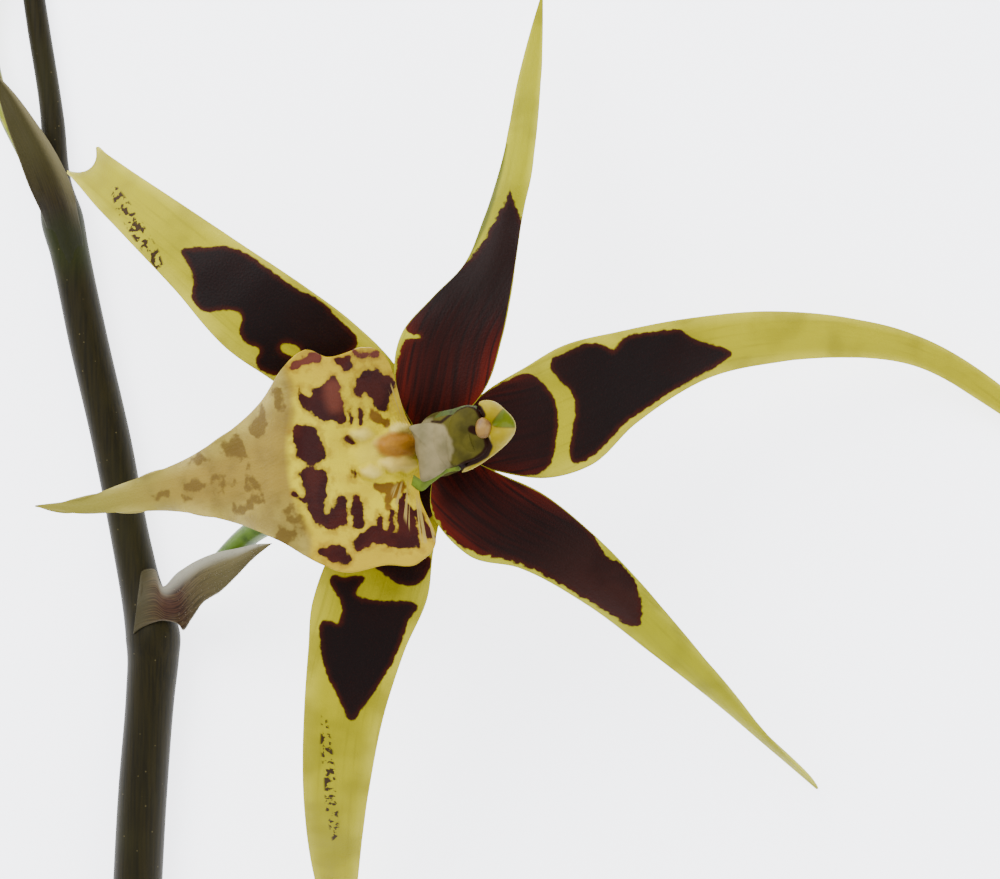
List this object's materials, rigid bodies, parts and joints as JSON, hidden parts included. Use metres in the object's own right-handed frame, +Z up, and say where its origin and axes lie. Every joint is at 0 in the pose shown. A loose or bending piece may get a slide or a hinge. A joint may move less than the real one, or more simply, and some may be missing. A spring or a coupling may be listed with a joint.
{
  "type": "brassia orchid bloom on its cut spike",
  "caption": "Spider orchid bloom with long narrow tepals and a spotted pointed lip, on a cut spike with bracts and buds, lying down.",
  "frame": {"origin": "middle of the underside of the box round the piece, on the surface that it lies on", "axes": "+Z up from the surface towards the bloom's face, +Y along the spike from its cut end to its buds, +X along the dorsal sepal"},
  "size_m": [0.163, 0.1862, 0.0481],
  "materials": {
    "stalk_brown": "smooth fresh stem, dark olive brown",
    "stalk_green": "smooth fresh stem, bright green",
    "bud_green": "waxy closed bud, yellow green",
    "bract_grey": "dry papery bract, grey brown",
    "tepal_yellow": "waxy tepal, yellow green with dark brown blotches",
    "lip_yellow": "waxy lip, yellow with red brown spots",
    "column_green": "waxy column, white to green",
    "cap_yellow": "waxy cap, yellow green"
  },
  "bodies": {
    "root": {"flower_stalk": "stalk_brown", "bloom_stalk": "stalk_green", "side_bud": "bud_green", "end_bud": "bud_green", "lower_bract": "bract_grey", "upper_bract": "bract_grey", "dorsal_sepal": "tepal_yellow", "upper_side_sepal": "tepal_yellow", "lower_side_sepal": "tepal_yellow", "upper_petal": "tepal_yellow", "lower_petal": "tepal_yellow", "lip": "lip_yellow", "column": "column_green", "anther_cap": "cap_yellow"}
  },
  "joints": []
}
